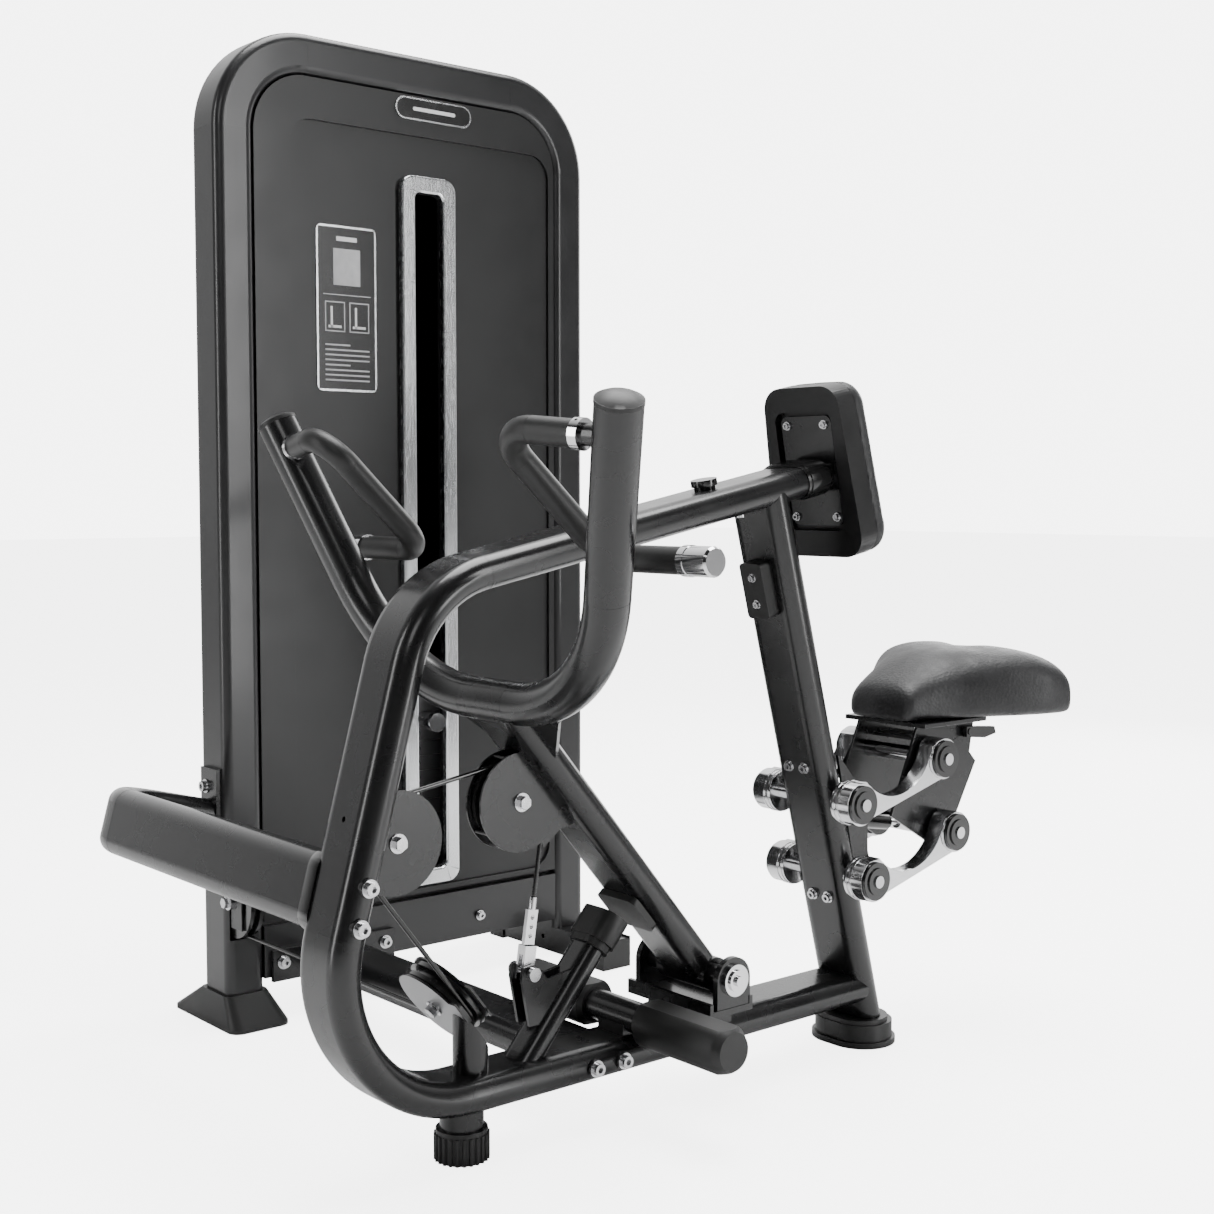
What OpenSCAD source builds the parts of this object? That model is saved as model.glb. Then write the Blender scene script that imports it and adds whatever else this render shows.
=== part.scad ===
// Seated row machine: a forked lever lifts a pin-selected weight stack through a cable.
// Millimetres. X from the tower towards the exerciser's left, Y towards the seat, Z up.

/* [Tubes] */
// Width of the flat-oval main tubes
tube_w = 96; // [92:1:98]
// Thickness of the flat-oval main tubes
tube_t = 44; // [42:1:44]
// Wall of the main tubes
tube_wall = 4; // [3:0.5:4]
// Diameter of the yoke tube
yoke_d = 54; // [50:1:56]

/* [Lever] */
// Diameter of the rubber grips
grip_d = 32; // [30:1:36]
// Pitch radius of the cable pulleys
pitch_r = 51; // [50:0.5:51]
// Diameter of the cable
cable_d = 6; // [4:0.5:6]

/* [Stack] */
// Number of weight plates that stay down
resting_plates = 9; // [4:1:10]
// Thickness of one weight plate
plate_t = 25; // [22:1:25]
// Height of the tower
tower_h = 1551; // [1520:1:1580]

/* [Seat] */
// Half width of the seat cushion
seat_half = 172; // [160:1:180]

/* [Hidden] */
$fn = 48;
gap = 0.05;
weld_grow = 0.15;
weld_half = 0.6;
$grow = 0;
mid_x = [1, 0, 0];
slant = [0.31, 0.52, 0.8];
black = [0.16, 0.16, 0.17];
rubber = [0.06, 0.06, 0.06];
steel = [0.8, 0.8, 0.82];

// Frame loop
rail_tilt = 11.38;
rail_dir = [0, cos(rail_tilt), sin(rail_tilt)];
rail_up = [0, -sin(rail_tilt), cos(rail_tilt)];
rail_at = [0, 400, 813.4];
rail_len = 214;
low_z = 87;
member_dir = [0, 0.2607, 0.9654];
member_low = [0, -242, low_z];
member_high = [0, -71.5, 718.5];
post_dir = [0, -0.2577, 0.9662];
post_face = [0, -0.9662, -0.2577];
post_at = [0, 638, 400];
loop_path = [rail_at + rail_dir * rail_len, member_high, member_low, [0, 715, low_z]];
loop_bends = [0, 148, 180, 0];

// Lever
pivot = [0, 395, 171];
arm_dir = [0, -0.6475, 0.7621];
arm_down = [0, -0.7621, -0.6475];
cross_at = [0, 54, 574];
yoke_up = [0, -0.275, 0.9615];
yoke_path = [
    cross_at + [-358, 0, 0] + yoke_up * 367,
    cross_at + [-207, 0, 0],
    cross_at + [207, 0, 0],
    cross_at + [358, 0, 0] + yoke_up * 367
];
yoke_bends = [0, 240, 240, 0];
handle_path = [
    [344.7, -40.5, 892],
    [183, -82, 907],
    [189, 77, 758],
    [372, 77, 758]
];
handle_bends = [0, 42, 45, 0];

// Cable drive
front_axle = [0, -102, 415];
lever_axle = [0, 84, 443];
wheel_r = pitch_r + 6.5;
wheel_w = 22;
guard_r = 64;
slot_r = guard_r + 2;
anchor = [0, 100, 219];
run_a = [0, cos(81), sin(81)];
run_a_len = 218.7;
run_b = [0, cos(8.6), sin(8.6)];
run_b_start = front_axle + [0, -run_b.z, run_b.y] * pitch_r;
run_b_len = 188.1;
run_c_dir = [0, 0.6112, -0.7915];
run_c_start = front_axle - [0, 0.7915, 0.6112] * pitch_r;
run_c_len = 245;
floor_tangent = run_c_start + run_c_dir * run_c_len;
floor_axle = floor_tangent + [-pitch_r, 0, 0];
floor_out = floor_axle + run_c_dir * pitch_r;
floor_axis = [0, 0.7915, 0.6112];
corner_axle = [-650, floor_out.y, floor_out.z + pitch_r];
rise_x = corner_axle.x - pitch_r;
stack_x = -745;
stack_y = 400;
top_z = 1330;
top_dir = [stack_x - rise_x, stack_y - corner_axle.y, 0];
top_u = top_dir / norm(top_dir);
top_axle_a = [rise_x, corner_axle.y, top_z] + top_u * pitch_r;
top_axle_b = [stack_x, stack_y, top_z] - top_u * pitch_r;
top_axis = [top_u.y, -top_u.x, 0];

// Tower
post_w = 65;
post_d = 83;
tower_x = -650;
tower_mid = tower_x - post_d / 2;
left_y = 49.5;
right_y = 700.5;
plate_pitch = plate_t + 0.4;
stack_z = 209;
lifted_z = stack_z + resting_plates * plate_pitch;
head_z = lifted_z + plate_pitch;
pin_z = lifted_z + plate_t / 2;
rod_y = 125;
slot_mid = 400;
slot_z = 764;

// Seat linkage
hub_u = [0, 642, 384];
hub_l = [0, 672, 268];
arm_v = [0, 187, 48.5];
seat_u = hub_u + arm_v;
seat_l = hub_l + arm_v;
hub_r = 31;
spring_low = [0, 705, 342];
spring_dir = unit(seat_l - spring_low);

// Chest pad
pad_s = 244;
pad_bolts = [[-36, 74], [36, 74], [-40, -62], [40, -62]];

// Foot bar
foot_at = [0, 265, 132];
foot_r = 21;

// Rest post for the lever
bumper_base = [0, 90, 98.3];
bumper_dir = [0, 0.652, 0.758];
bumper_len = 177;

function unit(v) = v / norm(v);
function leg(p, r, i) = r[i] == 0 ? 0
    : r[i] * tan(acos(unit(p[i] - p[i - 1]) * unit(p[i + 1] - p[i])) / 2);
function on_post(z) = post_at + post_dir * ((z - post_at.z) / post_dir.z);
function on_member(z) = member_low + member_dir * ((z - member_low.z) / member_dir.z);

// Turns the Z axis to dir and the X axis to side
module aim(at, dir, side = mid_x) {
    z = unit(dir);
    x = unit(side - z * (side * z));
    y = cross(z, x);
    multmatrix([
        [x.x, y.x, z.x, at.x],
        [x.y, y.y, z.y, at.y],
        [x.z, y.z, z.z, at.z],
        [0, 0, 0, 1]
    ]) children();
}

module run(a, b, side = mid_x)
    aim(a, b - a, side) linear_extrude(norm(b - a)) children();

// Butt weld bead, a little thicker than the section on both sides
module bead(at, dir, side) {
    $grow = weld_grow;
    run(at - dir * weld_half, at + dir * weld_half, side) children();
}

// Sweeps a section along straight legs welded to round bends
module bent(p, r, side = mid_x) {
    $grow = 0;
    for (i = [0 : len(p) - 2]) {
        d = unit(p[i + 1] - p[i]);
        from = p[i] + d * leg(p, r, i);
        to = p[i + 1] - d * leg(p, r, i + 1);
        run(from + d * (i == 0 ? 0 : gap), to - d * (i == len(p) - 2 ? 0 : gap), side) children();
        if (i > 0)
            bead(from, d, side) children();
        if (i < len(p) - 2)
            bead(to, d, side) children();
    }
    for (i = [1 : len(p) - 2]) {
        u = unit(p[i] - p[i - 1]);
        v = unit(p[i + 1] - p[i]);
        n = unit(cross(u, v));
        start = p[i] - u * leg(p, r, i);
        centre = start + cross(n, u) * r[i];
        aim(centre, n, start - centre)
            rotate_extrude(angle = acos(u * v)) translate([r[i], 0]) rotate(90) children();
    }
}

module disc(d)
    circle(d = d + 2 * $grow);

module flat_oval(w, t) {
    square([w - t, t + 2 * $grow], center = true);
    for (s = [-1, 1])
        translate([s * (w - t) / 2, 0]) disc(t);
}

// Removes a bore from a section, a little less of it inside a weld bead
module hollow(w, t) {
    $grow = -$grow;
    flat_oval(w, t);
}

module flat_tube(w, t, wall)
    difference() {
        flat_oval(w, t);
        hollow(w - 2 * wall, t - 2 * wall);
    }

module main_tube()
    flat_tube(tube_w, tube_t, tube_wall);

module main_solid()
    flat_oval(tube_w, tube_t);

module pipe(d, wall)
    difference() {
        disc(d);
        circle(d = d - 2 * wall - 2 * $grow);
    }

module rounded(w, h, r) {
    square([w - 2 * r, h], center = true);
    square([w, h - 2 * r], center = true);
    for (x = [-1, 1], y = [-1, 1])
        translate([x * (w / 2 - r), y * (h / 2 - r)]) circle(r = r);
}

// Draws a profile given in Y and Z, centred on the plane X = x
module side_plate(x, t)
    translate([x - t / 2, 0, 0]) rotate([90, 0, 90]) linear_extrude(t) children();

module across(at, r, half)
    translate([at.x - half, at.y, at.z]) rotate([0, 90, 0]) cylinder(r = r, h = 2 * half);

module mirrored_x()
    for (s = [0, 1])
        mirror([s, 0, 0]) children();

// Cap head, washer and shank, seated at Z = 0
module bolt(d = 10, shank = 22) {
    difference() {
        translate([0, 0, 2]) cylinder(d = 1.6 * d, h = 0.7 * d);
        translate([0, 0, 2 + 0.3 * d]) cylinder(d = 0.9 * d, h = d, $fn = 6);
    }
    cylinder(d = 2.2 * d, h = 2);
    translate([0, 0, -shank]) cylinder(d = d, h = shank + 1);
}

module bolt_hole(d = 10, shank = 22)
    translate([0, 0, -shank - 0.5]) cylinder(d = d + 0.2, h = shank + 3);

module loop_bolt_seats() {
    aim([51, on_member(376).y, 376], mid_x, [0, 1, 0]) children();
    aim([51, on_member(330).y, 330], mid_x, [0, 1, 0]) children();
    for (y = [178, 226])
        aim([51, y, low_z], mid_x, [0, 1, 0]) children();
}

module post_bolt_seats()
    for (z = [438, 238], x = [-15, 15])
        aim(on_post(z) + post_face * tube_t / 2 + [x, 0, 0], post_face) children();

// Wheel of a cable pulley, on the Z axis
module wheel() {
    half = wheel_w / 2;
    rotate_extrude()
        polygon([
            [8 + gap, -half], [15, -half], [17, -6], [pitch_r - 14, -6], [pitch_r - 10, -half],
            [wheel_r, -half], [wheel_r, -cable_d / 2 - 2], [pitch_r - cable_d / 2 - 0.3, -cable_d / 2 + 0.5],
            [pitch_r - cable_d / 2 - 0.3, cable_d / 2 - 0.5], [wheel_r, cable_d / 2 + 2], [wheel_r, half],
            [pitch_r - 10, half], [pitch_r - 14, 6], [17, 6], [15, half], [8 + gap, half]
        ]);
}

// Axle, end washers and nuts of a pulley whose plates stand at +-16
module axle(half = 16.02) {
    cylinder(d = 16, h = 2 * half, center = true);
    for (s = [0, 1])
        mirror([0, 0, s]) {
            translate([0, 0, half]) cylinder(d = 24, h = 2);
            translate([0, 0, half + 2]) cylinder(d = 17, h = 8, $fn = 6);
        }
}

module guard_pins(angles)
    for (a = angles)
        rotate(a) translate([guard_r - 3.2, 0, 0]) cylinder(d = 5, h = 26.2, center = true);

module cable_section()
    disc(cable_d);

// Arc of cable about X, angles from +Y towards +Z
module wrap(at, from, to)
    translate(at) rotate([90, 0, 90]) rotate(from)
        rotate_extrude(angle = to - from) translate([pitch_r, 0]) cable_section();

module yoke_core()
    bent(yoke_path, yoke_bends, slant) disc(yoke_d);

module post_core(low, high)
    run(on_post(low), on_post(high)) flat_oval(tube_w + 0.4, tube_t + 0.1);

module main_loop()
    color(black) difference() {
        union() {
            bent(loop_path, loop_bends) main_tube();
            intersection() {
                loop_bolt_seats() translate([0, 0, -10]) cylinder(d = 24, h = 10);
                translate([30, -300, 0]) cube([21, 600, 500]);
            }
        }
        post_core(20, 170);
        translate(front_axle) rotate([0, 90, 0]) cylinder(r = slot_r, h = 32, center = true);
        loop_bolt_seats() bolt_hole();
        translate(on_member(450)) rotate([90, 0, 0]) cylinder(d = 7, h = 40);
        aim(rail_at + rail_dir * 21.4, rail_up) cylinder(d = 10 + 2 * gap, h = 40);
        aim([0, 485, 800], [0, 0, -1]) translate([0, 0, -18]) cylinder(d = 8.2, h = 40);
    }

module front_foot()
    color(black) difference() {
        translate([0, 0, 8]) cylinder(d = 56, h = low_z - 8);
        bent(loop_path, loop_bends) main_solid();
    }

module front_foot_cap()
    color(rubber) difference() {
        union() {
            cylinder(d = 66, h = 40);
            for (a = [0 : 15 : 345])
                rotate(a) translate([33, 0, 0]) cylinder(d = 5, h = 34);
        }
        translate([0, 0, 8]) cylinder(d = 56 + 2 * gap, h = 40);
    }

module seat_post()
    color(black) difference() {
        run(on_post(6), on_post(840)) main_tube();
        run(rail_at, rail_at + rail_dir * 250) flat_oval(tube_w + 0.4, tube_t + 0.1);
        aim(rail_at - rail_up * 4, rail_up) translate([-100, -300, 0]) cube([200, 600, 100]);
        post_bolt_seats() bolt_hole(8, 16);
        for (h = [hub_u, hub_l])
            across(h, 12.5 + gap, 60);
        for (z = [686, 724])
            aim(on_post(z) + post_face * tube_t / 2, post_face) bolt_hole(6, 16);
    }

module post_shoe()
    color(rubber) difference() {
        union() {
            translate([0, 735, 0]) linear_extrude(34) flat_oval(124, 96);
            translate([0, 735, 0]) linear_extrude(9) flat_oval(134, 106);
            translate([0, 732, 34]) linear_extrude(7) flat_oval(114, 86);
        }
        run(on_post(5.5), on_post(80)) flat_oval(tube_w + 0.2, tube_t + 0.2);
    }

module post_stop()
    color(rubber) difference() {
        aim(on_post(705) + post_face * (tube_t / 2 + 0.05), post_face)
            linear_extrude(22) rounded(42, 82, 6);
        for (z = [686, 724])
            aim(on_post(z) + post_face * (tube_t / 2 + 19), post_face) {
                bolt_hole(6, 60);
                cylinder(d = 15, h = 10);
            }
    }

module frame_bolts()
    color(steel) {
        loop_bolt_seats() bolt();
        post_bolt_seats() bolt(8, 14);
        aim([-698, 9, 378], [0, -1, 0]) bolt(10, 20);
        for (y = [110, 300])
            aim([-642, y, 92], mid_x, [0, 1, 0]) bolt(10, 20);
        aim([-650, 499, 103], mid_x, [0, 1, 0]) bolt(8, 14);
        for (z = [686, 724])
            aim(on_post(z) + post_face * (tube_t / 2 + 19), post_face) bolt(6, 34);
        aim([0, 485, 807.5], [0, sin(rail_tilt), -cos(rail_tilt)]) bolt(8, 0.5);
    }

module tie_beam()
    color(black) difference() {
        union() {
            a = [-52, on_member(357).y, 357];
            down = [0, member_dir.z, -member_dir.y];
            corner = [-690, a.y, a.z];
            bent([a, corner, corner + down * 186], [0, 90, 0], member_dir) main_tube();
            translate([-690, 17, 0]) rotate([90, 0, 0]) linear_extrude(8) {
                translate([0, 356]) square([51, 102], center = true);
                translate([0, 381.5]) circle(d = 51);
            }
        }
        aim([-698, 9, 378], [0, -1, 0]) bolt_hole(10, 20);
        translate([-800, 17, 0]) cube([200, 100, 600]);
        translate([-52, 0, 0]) cube([60, 600, 900], center = false);
    }

module tie_beam_cap()
    color(rubber) difference() {
        a = [-30, on_member(357).y, 357];
        run(a, a - [22, 0, 0], member_dir) flat_oval(tube_w + 6, tube_t + 5);
        bent(loop_path, loop_bends) main_solid();
    }

module base_tube()
    color(black) difference() {
        union() {
            run([-20, 205, low_z - 2], [-642, 205, low_z - 2], [0, 1, 0]) main_tube();
            translate([-650, 92, 62]) cube([8, 226, 50]);
        }
        bent(loop_path, loop_bends) main_solid();
        for (y = [110, 300])
            aim([-642, y, 92], mid_x, [0, 1, 0]) bolt_hole(10, 20);
    }

// Slanting bumper post with the two ears that hold the cable end

module bumper_post()
    color(black) difference() {
        union() {
            run(bumper_base, bumper_base + bumper_dir * bumper_len) flat_oval(52, 34);
            for (x = [-12, 12])
                difference() {
                    side_plate(x, 5)
                        polygon([[125, 150], [97, 150], [85, 214], [87, 228], [106, 230], [128, 206],
                            [175, 214], [185, 200]]);
                    across([x, anchor.y, anchor.z], 5 + gap, 8);
                }
        }
        bent(loop_path, loop_bends) main_solid();
    }

module rest_bumper()
    color(rubber) difference() {
        aim(bumper_base + bumper_dir * (bumper_len + 0.1), bumper_dir) {
            linear_extrude(10) flat_oval(62, 44);
            translate([0, 0, 10]) linear_extrude(40) flat_oval(72, 46);
        }
        aim(pivot + arm_down * (tube_t / 2 + 10.5) - arm_dir * 10, -arm_down)
            translate([-100, -400, 0]) cube([200, 500, 100]);
    }

module pivot_bracket()
    color(black) difference() {
        union() {
            translate([-60, 366, 104]) cube([120, 48, 20]);
            translate([-85, 350, 124]) cube([170, 80, 9]);
            for (y = [350, 424])
                translate([-85, y, 124]) cube([170, 6, 20]);
            mirrored_x() side_plate(79.5, 9) {
                translate([pivot.y, pivot.z]) circle(r = 31);
                translate([pivot.y - 31, 124]) square([62, pivot.z - 124]);
            }
        }
        across(pivot, 10 + gap, 100);
        bent(loop_path, loop_bends) main_solid();
    }

module pivot_shaft()
    color(steel) {
        across(pivot, 10, 92);
        mirrored_x() {
            across(pivot + [87, 0, 0], 22, 2.9);
            across(pivot + [90, 0, 0], 15, 3);
            across(pivot + [94, 0, 0], 7, 3);
        }
    }

module front_guards()
    color(black) difference() {
        translate(front_axle) rotate([0, 90, 0]) {
            for (z = [-16, 13])
                translate([0, 0, z]) cylinder(r = guard_r, h = 3);
            guard_pins([-35, 190]);
        }
        across(front_axle, 8 + gap, 40);
    }

module front_axle_bolt()
    color(steel) translate(front_axle) rotate([0, 90, 0]) axle();

module front_wheel()
    color(rubber) translate(front_axle) rotate([0, 90, 0]) wheel();

module floor_column()
    color(black) difference() {
        union() {
            translate([0, 14, 100]) cylinder(d = 45, h = 90);
            aim(floor_axle, floor_axis) {
                for (z = [-16, 13])
                    translate([0, 0, z]) linear_extrude(3) {
                        circle(r = 59);
                        translate([30, -26]) square([38, 52]);
                    }
            }
        }
        aim(floor_axle, floor_axis) {
            difference() {
                translate([-100, -100, -13]) cube([230, 200, 26]);
                rotate(150) translate([60.8, 0, 0]) cylinder(d = 4, h = 60, center = true);
            }
            translate([58, -60, 16]) cube([60, 120, 60]);
            translate([-100, -100, 16]) cube([230, 200, 60]);
            cylinder(d = 16 + 2 * gap, h = 60, center = true);
        }
        bent(loop_path, loop_bends) main_solid();
    }

module floor_axle_bolt()
    color(steel) aim(floor_axle, floor_axis) axle();

module floor_wheel()
    color(rubber) aim(floor_axle, floor_axis) wheel();

// Foot bar and saddle
module foot_bar()
    color(black) difference() {
        union() {
            across(foot_at, foot_r, 209);
            translate([-26, foot_at.y - 20, 100]) cube([52, 40, 24]);
        }
        bent(loop_path, loop_bends) main_solid();
    }

module foot_sleeves()
    color(rubber) mirrored_x() difference() {
        intersection() {
            translate([53, foot_at.y, foot_at.z]) rotate([0, 90, 0]) {
                cylinder(d1 = 52, d2 = 66, h = 5);
                translate([0, 0, 5]) cylinder(d = 66, h = 147);
                translate([0, 0, 152]) cylinder(d1 = 66, d2 = 50, h = 12);
            }
            translate([50, foot_at.y - 40, foot_at.z - 28]) cube([180, 80, 56]);
        }
        across(foot_at, foot_r + gap, 209.5);
    }

module lever_arm()
    color(black) difference() {
        union() {
            difference() {
                run(pivot, cross_at) main_tube();
                translate(lever_axle) rotate([0, 90, 0]) cylinder(r = slot_r, h = 32, center = true);
            }
            across(pivot, tube_t / 2 + 1.5, tube_w / 2 + 0.5);
            across(pivot, 16.5, 74.5);
            for (x = [-14.5, 14.5])
                side_plate(x, 3) {
                    translate([lever_axle.y, lever_axle.z]) circle(r = guard_r);
                    polygon([[84, 443], [118, 389], [121, 381], [147, 401], [205, 412], [120, 512]]);
                }
            translate(lever_axle) rotate([0, 90, 0]) guard_pins([-55, 70, -160]);
            aim(cross_at, arm_dir) rotate([90, 0, 0]) linear_extrude(6, center = true)
                for (s = [-1, 1])
                    polygon([[s * 40, 0], [s * 112, 0], [s * 112, -24], [s * 47, -96], [s * 40, -96]]);
        }
        yoke_core();
        across(pivot, 10 + gap, 100);
        across(lever_axle, 8 + gap, 40);
    }

module arm_stop_pad()
    color(rubber) aim(pivot + arm_dir * 155 + arm_down * tube_t / 2, arm_down)
        linear_extrude(10) rounded(76, 62, 10);

module lever_axle_bolt()
    color(steel) translate(lever_axle) rotate([0, 90, 0]) axle();

module lever_wheel()
    color(rubber) translate(lever_axle) rotate([0, 90, 0]) wheel();

module yoke()
    color(black) bent(yoke_path, yoke_bends, slant) pipe(yoke_d, 3);

module yoke_caps()
    color(rubber) mirrored_x() {
        up = unit(yoke_path[3] - yoke_path[2]);
        aim(yoke_path[3], up, slant) {
            cylinder(d = yoke_d + 1, h = 5);
            translate([0, 0, 5]) intersection() {
                translate([0, 0, 8 - 50]) sphere(r = 50);
                cylinder(d = yoke_d + 1, h = 20);
            }
            translate([0, 0, -14]) cylinder(d = yoke_d - 6 - 2 * gap, h = 15);
        }
    }

module handle_bars()
    color(black) difference() {
        mirrored_x() bent(handle_path, handle_bends, slant) disc(25);
        yoke_core();
    }

module handle_grips()
    color(rubber) mirrored_x() {
        c = handle_path[0] + unit(handle_path[1] - handle_path[0]) * 52;
        bent([c, handle_path[1], handle_path[2], [328, 77, 758]], handle_bends, slant)
            pipe(grip_d, (grip_d - 25.8) / 2);
    }

module grip_rings()
    color(steel) mirrored_x() {
        d = unit(handle_path[1] - handle_path[0]);
        aim(handle_path[0] + d * 40, d, slant) difference() {
            cylinder(d = grip_d + 4, h = 11.5);
            translate([0, 0, -1]) cylinder(d = 25 + 2 * gap, h = 14);
            translate([0, 0, 6]) rotate([90, 0, 30]) cylinder(d = 4, h = 30);
        }
        difference() {
            translate([328.5, 77, 758]) rotate([0, 90, 0]) {
                cylinder(d = grip_d + 4, h = 10);
                translate([0, 0, 10]) cylinder(d = grip_d + 2.5, h = 34);
                translate([0, 0, 44]) cylinder(d1 = grip_d + 2.5, d2 = grip_d - 2, h = 3);
            }
            across([300, 77, 758], 12.5 + gap, 72.1);
            translate([333, 77, 700]) cylinder(d = 4, h = 60);
        }
    }

module anchor_fork()
    color(steel) aim(anchor, run_a) {
        difference() {
            union() {
                translate([-8, -9, -10]) cube([16, 18, 44]);
                translate([-3, -8, 34]) cube([6, 16, 46]);
                translate([0, 0, 80]) cylinder(d = 9, h = 16);
            }
            translate([-4, -10, -12]) cube([8, 20, 34]);
            for (z = [46, 58, 70])
                translate([-10, 0, z]) rotate([0, 90, 0]) cylinder(d = 6, h = 20);
            rotate([0, 90, 0]) cylinder(d = 10 + 2 * gap, h = 40, center = true);
        }
    }

module anchor_pin()
    color(steel) {
        across(anchor, 5, 22);
        mirrored_x() across(anchor + [19, 0, 0], 9, 4.4);
    }

module cable_a_low()
    color(rubber) run(anchor + run_a * 96.2, anchor + run_a * 157) cable_section();

module cable_a_high()
    color(rubber) run(anchor + run_a * 157.2, anchor + run_a * (run_a_len - 0.3)) cable_section();

module cable_b_near()
    color(rubber) run(run_b_start + run_b * 0.3, run_b_start + run_b * 94) cable_section();

module cable_b_far()
    color(rubber) run(run_b_start + run_b * 94.2, run_b_start + run_b * (run_b_len - 0.3)) cable_section();

module cable_wrap()
    color(rubber) wrap(lever_axle, -9, 98.3);

// Cable from the front pulley to the top of the tower
module cable_main() {
    far = [rise_x, floor_out.y, floor_out.z];
    path = [
        run_c_start,
        floor_tangent + run_c_dir * pitch_r,
        far,
        [rise_x, corner_axle.y, top_z + pitch_r],
        [stack_x, stack_y, top_z + pitch_r],
        [stack_x, stack_y, top_z]
    ];
    color(rubber) {
        bent(path, [0, pitch_r, pitch_r, pitch_r, pitch_r, 0], slant) cable_section();
        wrap(front_axle, 111.2, 217.6);
        bead(run_c_start, run_c_dir, slant) cable_section();
    }
}

module corner_wheel()
    color(rubber) aim(corner_axle, [0, 1, 0]) wheel();

module corner_axle_bolt()
    color(steel) aim(corner_axle, [0, 1, 0]) {
        cylinder(d = 16, h = 30, center = true);
        translate([0, 0, -21]) cylinder(d = 24, h = 6);
        translate([0, 0, -29]) cylinder(d = 17, h = 8, $fn = 6);
    }

module corner_bracket()
    color(black) difference() {
        for (y = [corner_axle.y - 15, corner_axle.y + 12])
            translate([-649.9, y, corner_axle.z - 40]) cube([34, 3, 80]);
        aim(corner_axle, [0, 1, 0]) cylinder(d = 16 + 2 * gap, h = 60, center = true);
    }

module top_wheel_a()
    color(rubber) aim(top_axle_a, top_axis, top_u) wheel();

module top_wheel_b()
    color(rubber) aim(top_axle_b, top_axis, top_u) wheel();

module top_axles()
    color(steel) {
        aim(top_axle_a, top_axis, top_u) axle();
        aim(top_axle_b, top_axis, top_u) axle();
    }

// Two hanging cheeks that hold the two top pulleys
module top_hanger()
    color(black) difference() {
        for (z = [-14.5, 14.5])
            aim([rise_x, corner_axle.y, 0], top_axis, top_u)
                translate([0, 0, z]) linear_extrude(3, center = true)
                    difference() {
                        translate([22, top_z - 30]) square([345, 99.9]);
                        translate([100, top_z - 40]) square([180, 70]);
                    }
        for (p = [top_axle_a, top_axle_b])
            aim(p, top_axis, top_u) cylinder(d = 16 + 2 * gap, h = 60, center = true);
        translate([-900, 0, 1200]) cube([900, 84, 300]);
        translate([-663, 0, 1200]) cube([100, 700, 300]);
        translate([stack_x, stack_y - rod_y, 1200]) cylinder(d = 24, h = 300);
    }

module tower_frame()
    color(black) difference() {
        union() {
            path = [
                [tower_mid, left_y, 8],
                [tower_mid, left_y, tower_h - post_w / 2],
                [tower_mid, right_y, tower_h - post_w / 2],
                [tower_mid, right_y, 50]
            ];
            bent(path, [0, 127.5, 127.5, 0])
                difference() {
                    rounded(post_d + 2 * $grow, post_w + 2 * $grow, 14 + $grow);
                    rounded(post_d - 6 - 2 * $grow, post_w - 6 - 2 * $grow, 11 - $grow);
                }
            translate([tower_mid - 40, 82, 68]) cube([80, 586, 83]);
            translate([-800, 92, 145]) cube([132, 566, 14]);
            translate([-732.5, 82, 145]) cube([64.5, 586, 14]);
            translate([-800, 88, 1400]) cube([132, 574, 8]);
            translate([-732.5, 82, 1400]) cube([64.5, 586, 8]);
            translate([-850, 672, 4]) cube([330, 56, 46]);
        }
        translate([tower_mid - 36, 80, 72]) cube([72, 590, 73]);
        translate([-849, 676, 8]) cube([328, 48, 38]);
        aim([-650, 499, 103], mid_x, [0, 1, 0]) bolt_hole(8, 14);
        for (y = [110, 300])
            aim([-650, y, 92], mid_x, [0, 1, 0]) bolt_hole(10, 20);
        aim([-698, 17, 378], [0, -1, 0]) bolt_hole(10, 20);
        translate(corner_axle - [62, 16, 62]) cube([66, 32, 124]);
        aim(corner_axle, [0, 1, 0]) translate([0, 0, -30]) cylinder(d = 25, h = 20);
        translate([top_axle_a.x - 27, 70, top_z - 66]) cube([54, 20, 132]);
        for (s = [-1, 1])
            translate([stack_x, stack_y + s * rod_y, 151]) cylinder(d = 20 + 2 * gap, h = 1300);
        for (x = [-721, -693])
            translate([x, 660, 28]) rotate([-90, 0, 0]) cylinder(d = 9, h = 30);
    }

module tower_boot()
    color(rubber) difference() {
        hull() {
            translate([-717, 57, 0]) linear_extrude(6) rounded(210, 102, 20);
            translate([tower_mid, left_y, 46]) linear_extrude(6) rounded(post_d + 10, post_w + 10, 14);
        }
        translate([tower_mid, left_y, 7.5]) linear_extrude(60) rounded(post_d + 0.2, post_w + 0.2, 14);
    }

module runner_feet()
    color(rubber) for (x = [-852, -558])
        difference() {
            translate([x, 669, 0]) cube([40, 62, 53]);
            translate([x == -852 ? x + 1.9 : x - 1.9, 671.9, 3.9]) cube([40, 56.2, 46.2]);
            translate([x, 671.9, 49]) cube([40, 56.2, 10]);
        }

module front_shroud()
    color(black) difference() {
        translate([-663, 82.1, 159.1]) cube([10, 585.8, 1326]);
        translate([-658, slot_mid, 794]) rotate([90, 0, 90]) linear_extrude(10) rounded(512, 1252, 40);
        translate([-700, slot_mid, slot_z]) rotate([90, 0, 90]) linear_extrude(60) rounded(54, 1127, 12);
        tower_corners();
    }

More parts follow.
